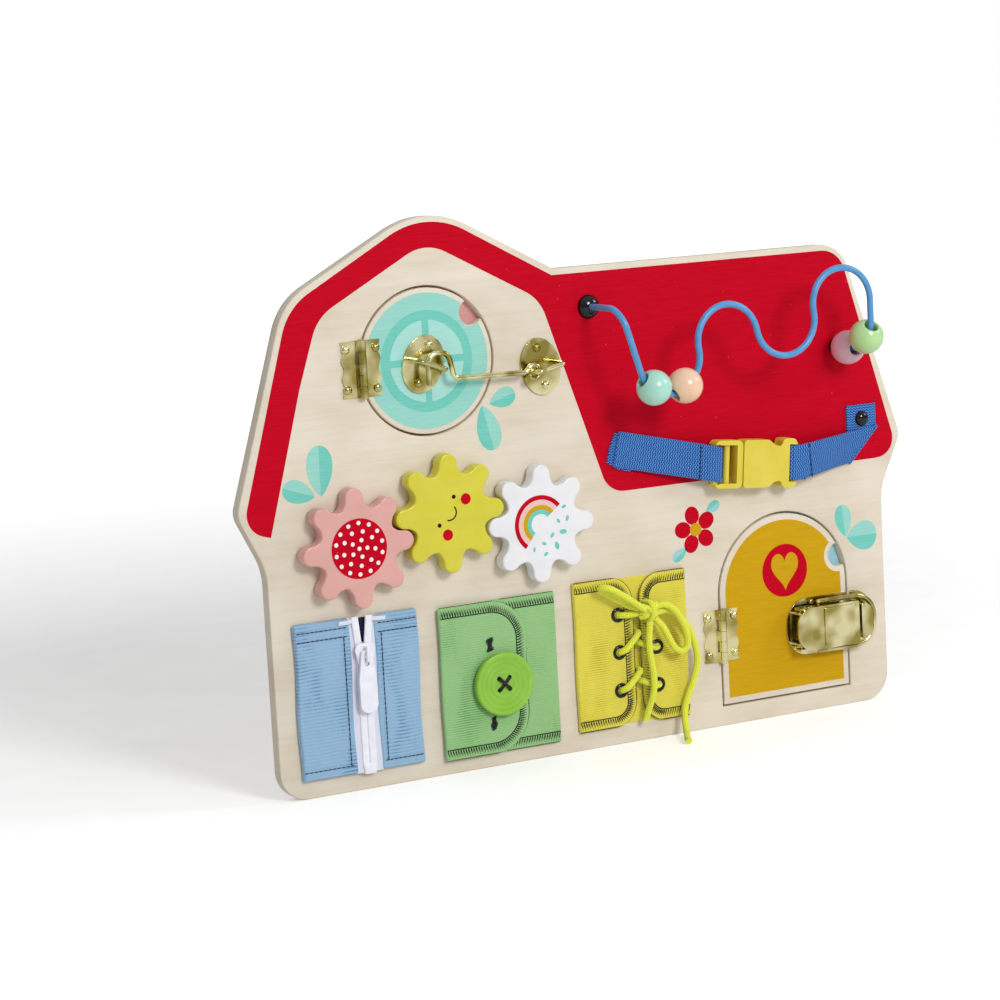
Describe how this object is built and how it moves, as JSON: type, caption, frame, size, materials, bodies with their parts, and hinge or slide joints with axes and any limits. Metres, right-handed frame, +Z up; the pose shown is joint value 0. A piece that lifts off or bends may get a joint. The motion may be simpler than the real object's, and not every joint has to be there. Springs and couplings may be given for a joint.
{
  "type": "wooden busy board",
  "caption": "Wooden barn-shaped busy board with hinged doors, a cabin hook, a toggle latch, meshing gears, beads on a bent wire, a strap buckle and cloth panels with a zip, a button and a lace.",
  "frame": {"origin": "middle of the board's bottom edge, half-way through the thickness of its two panels", "axes": "+X to the right along the board as seen from the front, +Y out of the back, +Z up"},
  "size_m": [0.4155, 0.0527, 0.3008],
  "materials": {
    "wood": "bare plywood, sanded, with a clear coat",
    "mint_paint": "wood with a mint green print",
    "mustard_paint": "wood with a mustard yellow print",
    "gear_pink": "wood with soft-gloss pink paint",
    "gear_yellow": "wood with soft-gloss yellow paint",
    "gear_white": "wood with soft-gloss white paint",
    "bead_mint": "wood with gloss mint paint",
    "bead_peach": "wood with gloss peach paint",
    "bead_green": "wood with gloss light green paint",
    "bead_pink": "wood with gloss pink paint",
    "brass": "polished brass plate",
    "steel": "plain steel",
    "wire_blue": "steel wire with a gloss light blue coat",
    "black": "gloss black",
    "black_metal": "gloss black lacquer",
    "cloth_blue": "ribbed cotton cloth",
    "cloth_green": "ribbed cotton cloth",
    "cloth_yellow": "ribbed cotton cloth",
    "zip_white": "white zip parts",
    "tape_white": "white woven tape",
    "lace": "round braided lace",
    "thread": "black thread",
    "button": "gloss lime green plastic",
    "webbing": "woven nylon webbing",
    "buckle": "satin yellow plastic"
  },
  "bodies": {
    "board": {"front_panel": "wood", "back_panel": "wood", "window_frame_leaf": "brass", "barn_frame_leaf": "brass", "hinge_pins": "brass", "frame_nails": "brass", "hook_plate_frame": "brass", "latch_catch": "brass", "bead_wire": "wire_blue", "wire_collars": "black", "gear_washers": "steel", "cloth_backs": "cloth_green", "zip_flap_left": "cloth_blue", "zip_flap_right": "cloth_blue", "zip_tapes": "tape_white", "zip_chain": "zip_white", "button_flap_left": "cloth_green", "button_flap_right": "cloth_green", "lace_flap_left": "cloth_yellow", "lace_flap_right": "cloth_yellow", "eyelets": "black_metal", "lace_lacing": "lace", "lace_knot": "lace", "lace_loop_left": "lace", "lace_loop_right": "lace", "lace_end_long": "lace", "lace_end_short": "lace", "strap_left": "webbing", "strap_right": "webbing", "strap_rivets": "black_metal", "buckle_female": "buckle"},
    "window": {"window_door": "mint_paint", "window_door_leaf": "brass", "window_nails": "brass", "hook_plate_door": "brass"},
    "hook": {"cabin_hook": "brass"},
    "barn": {"barn_door": "mustard_paint", "barn_door_leaf": "brass", "barn_nails": "brass", "latch_base": "brass", "latch_pin": "brass"},
    "lever": {"latch_lever": "brass"},
    "hasp": {"latch_hasp": "brass"},
    "gear_l": {"gear_left": "gear_pink", "axle_left": "steel"},
    "gear_m": {"gear_mid": "gear_yellow", "axle_mid": "steel"},
    "gear_r": {"gear_right": "gear_white", "axle_right": "steel"},
    "mint": {"bead_mint": "bead_mint"},
    "peach": {"bead_peach": "bead_peach"},
    "green": {"bead_green": "bead_green"},
    "pink": {"bead_pink": "bead_pink"},
    "slider": {"zip_slider": "zip_white"},
    "pull": {"zip_pull": "zip_white"},
    "big_button": {"button": "button", "button_thread": "thread"},
    "buckle_plug": {"buckle_male": "buckle", "buckle_prongs": "buckle"}
  },
  "joints": [
    {"name": "gear_yellow_spin", "type": "hinge", "parent": "board", "child": "gear_m", "pos_m": [-0.0904, -0.009, 0.1433], "axis": [0, 1, 0], "continuous": true},
    {"name": "gear_pink_spin", "type": "hinge", "parent": "board", "child": "gear_l", "pos_m": [-0.14507, -0.009, 0.13118], "axis": [0, 1, 0], "continuous": true},
    {"name": "gear_white_spin", "type": "hinge", "parent": "board", "child": "gear_r", "pos_m": [-0.03573, -0.009, 0.13118], "axis": [0, 1, 0], "continuous": true},
    {"name": "window_door_swing", "type": "hinge", "parent": "board", "child": "window", "pos_m": [-0.1332, -0.0066, 0.224], "axis": [0, 0, -1], "range_deg": [0, 23]},
    {"name": "hook_swing", "type": "hinge", "parent": "board", "child": "hook", "pos_m": [-0.03513, -0.0125, 0.21371], "axis": [0, 0.9613, 0.2756], "range_deg": [0, 110.4]},
    {"name": "barn_door_swing", "type": "hinge", "parent": "board", "child": "barn", "pos_m": [0.0804, -0.0066, 0.0523], "axis": [0, 0, -1], "range_deg": [0, 110]},
    {"name": "latch_lever_swing", "type": "hinge", "parent": "barn", "child": "lever", "pos_m": [0.131, -0.0102, 0.05], "axis": [0, 0, -1], "range_deg": [0, 80]},
    {"name": "latch_hasp_swing", "type": "hinge", "parent": "lever", "child": "hasp", "pos_m": [0.143, -0.0102, 0.05], "axis": [0, 0, -1], "range_deg": [-64, 0]},
    {"name": "bead_mint_slide", "type": "hinge", "parent": "board", "child": "mint", "pos_m": [0.034, -0.039, 0.216], "axis": [0, 1, 0], "range_deg": [0, 30]},
    {"name": "bead_peach_slide", "type": "hinge", "parent": "board", "child": "peach", "pos_m": [0.034, -0.039, 0.216], "axis": [0, 1, 0], "range_deg": [-45, 0]},
    {"name": "bead_green_slide", "type": "hinge", "parent": "board", "child": "green", "pos_m": [0.16673, -0.0225, 0.2255], "axis": [-1, 0, 0], "range_deg": [0, 35]},
    {"name": "bead_pink_slide", "type": "slide", "parent": "board", "child": "pink", "axis": [0, -1, 0], "range_m": [0, 0.0045]},
    {"name": "zip_slide", "type": "slide", "parent": "board", "child": "slider", "axis": [0, 0, -1], "range_m": [0, 0.053], "deforming": ["zip_chain", "zip_tapes"]},
    {"name": "zip_pull_swing", "type": "hinge", "parent": "slider", "child": "pull", "pos_m": [-0.1435, -0.0111, 0.0759], "axis": [-1, 0, 0], "range_deg": [0, 160]},
    {"name": "button_twist", "type": "hinge", "parent": "board", "child": "big_button", "pos_m": [-0.0626, -0.011, 0.0465], "axis": [0, 1, 0], "range_deg": [-40, 40]},
    {"name": "buckle_release", "type": "slide", "parent": "board", "child": "buckle_plug", "axis": [-0.9962, 0, 0.0872], "range_m": [0, 0.02], "deforming": ["buckle_prongs", "strap_left"]}
  ],
  "couplings": [
    {"joint": "gear_pink_spin", "follows": "gear_yellow_spin", "ratio": -1},
    {"joint": "gear_white_spin", "follows": "gear_yellow_spin", "ratio": -1},
    {"joint": "hook_swing", "follows": "window_door_swing", "ratio": 4.8},
    {"joint": "latch_hasp_swing", "follows": "latch_lever_swing", "ratio": -0.8},
    {"joint": "bead_pink_slide", "follows": "bead_green_slide", "m_per_rad": 0.007367}
  ]
}
